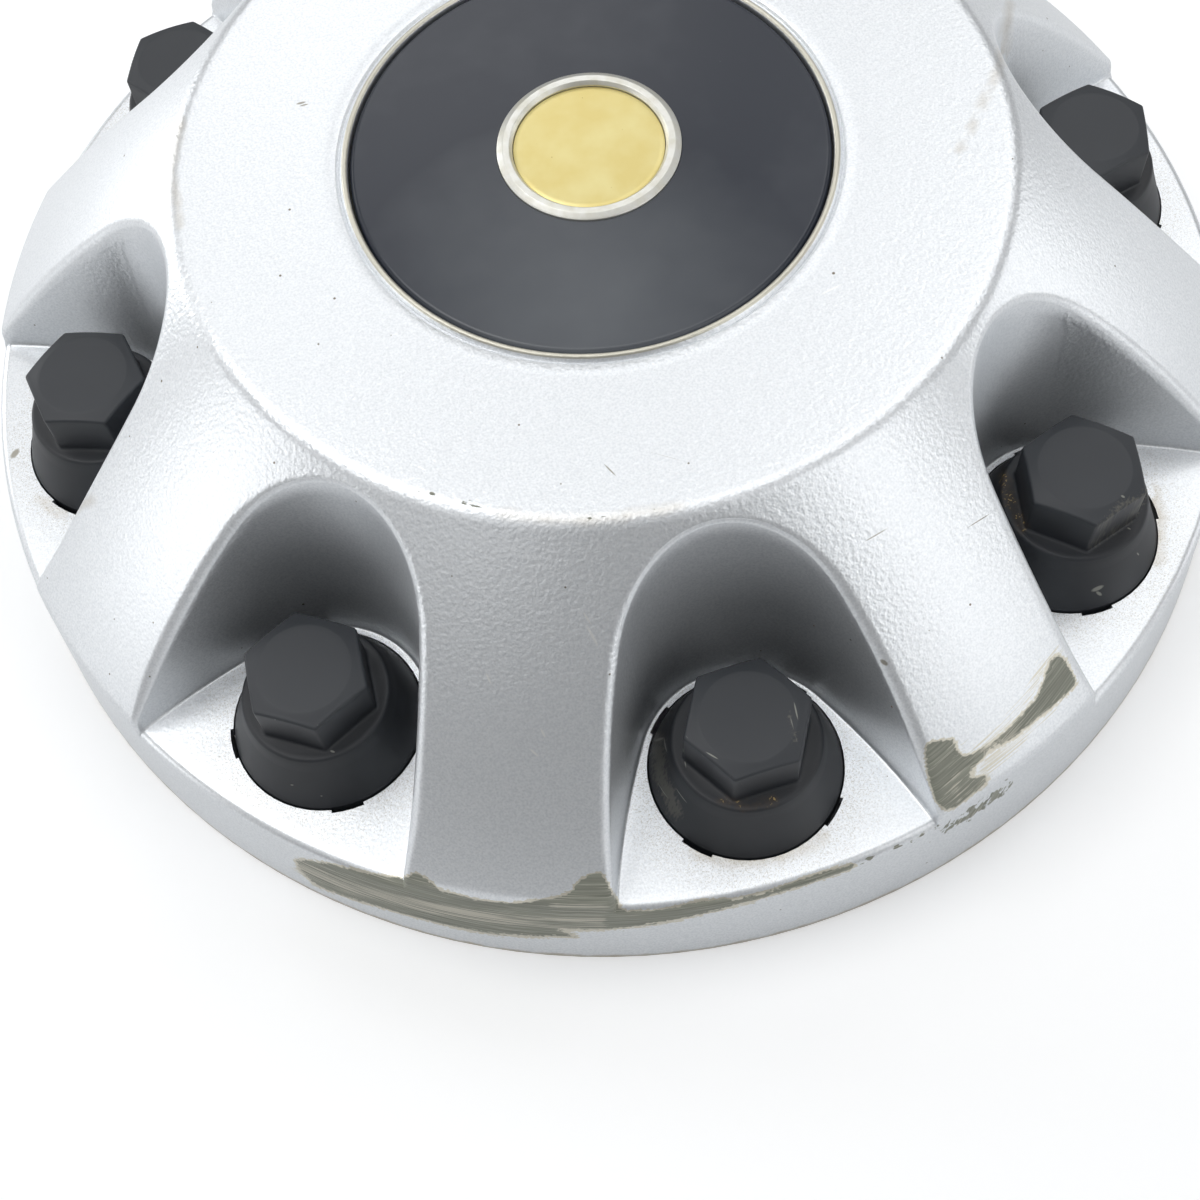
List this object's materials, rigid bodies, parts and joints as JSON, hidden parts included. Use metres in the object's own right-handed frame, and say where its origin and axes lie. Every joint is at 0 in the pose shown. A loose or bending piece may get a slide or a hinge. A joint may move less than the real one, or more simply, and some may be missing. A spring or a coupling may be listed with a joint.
{
  "type": "wheel center cap",
  "caption": "Round silver wheel center cap: flat-topped crown with deep pockets down to the rim, black badge disc, and a captive black hex nut cap spinning in each pocket.",
  "frame": {"origin": "centre of the rim's bottom face, where the cap meets the wheel", "axes": "+Z along the wheel's axle, outwards through the badge; +X through the axis of nut_cap_1; nut caps follow every 45 degrees, anticlockwise seen from +Z"},
  "size_m": [0.2064, 0.2064, 0.064],
  "materials": {
    "silver_paint": "silver metallic paint over moulded plastic, scuffed at the rim",
    "badge_black": "satin black",
    "badge_silver": "satin silver plating on plastic",
    "badge_gold": "brushed pale gold foil",
    "nut_black": "matte charcoal moulding"
  },
  "bodies": {
    "shell": {"cap_shell": "silver_paint", "badge_disc": "badge_black", "badge_border": "badge_silver", "badge_inlay": "badge_gold"},
    "nut_cap_1": {"nut_cap_1": "nut_black"},
    "nut_cap_2": {"nut_cap_2": "nut_black"},
    "nut_cap_3": {"nut_cap_3": "nut_black"},
    "nut_cap_4": {"nut_cap_4": "nut_black"},
    "nut_cap_5": {"nut_cap_5": "nut_black"},
    "nut_cap_6": {"nut_cap_6": "nut_black"},
    "nut_cap_7": {"nut_cap_7": "nut_black"},
    "nut_cap_8": {"nut_cap_8": "nut_black"}
  },
  "joints": [
    {"name": "nut_spin_1", "type": "hinge", "parent": "shell", "child": "nut_cap_1", "pos_m": [0.08255, 0, 0.0193], "axis": [0, 0, 1], "continuous": true},
    {"name": "nut_spin_2", "type": "hinge", "parent": "shell", "child": "nut_cap_2", "pos_m": [0.05837, 0.05837, 0.0193], "axis": [0, 0, 1], "continuous": true},
    {"name": "nut_spin_3", "type": "hinge", "parent": "shell", "child": "nut_cap_3", "pos_m": [0, 0.08255, 0.0193], "axis": [0, 0, 1], "continuous": true},
    {"name": "nut_spin_4", "type": "hinge", "parent": "shell", "child": "nut_cap_4", "pos_m": [-0.05837, 0.05837, 0.0193], "axis": [0, 0, 1], "continuous": true},
    {"name": "nut_spin_5", "type": "hinge", "parent": "shell", "child": "nut_cap_5", "pos_m": [-0.08255, 0, 0.0193], "axis": [0, 0, 1], "continuous": true},
    {"name": "nut_spin_6", "type": "hinge", "parent": "shell", "child": "nut_cap_6", "pos_m": [-0.05837, -0.05837, 0.0193], "axis": [0, 0, 1], "continuous": true},
    {"name": "nut_spin_7", "type": "hinge", "parent": "shell", "child": "nut_cap_7", "pos_m": [0, -0.08255, 0.0193], "axis": [0, 0, 1], "continuous": true},
    {"name": "nut_spin_8", "type": "hinge", "parent": "shell", "child": "nut_cap_8", "pos_m": [0.05837, -0.05837, 0.0193], "axis": [0, 0, 1], "continuous": true}
  ]
}
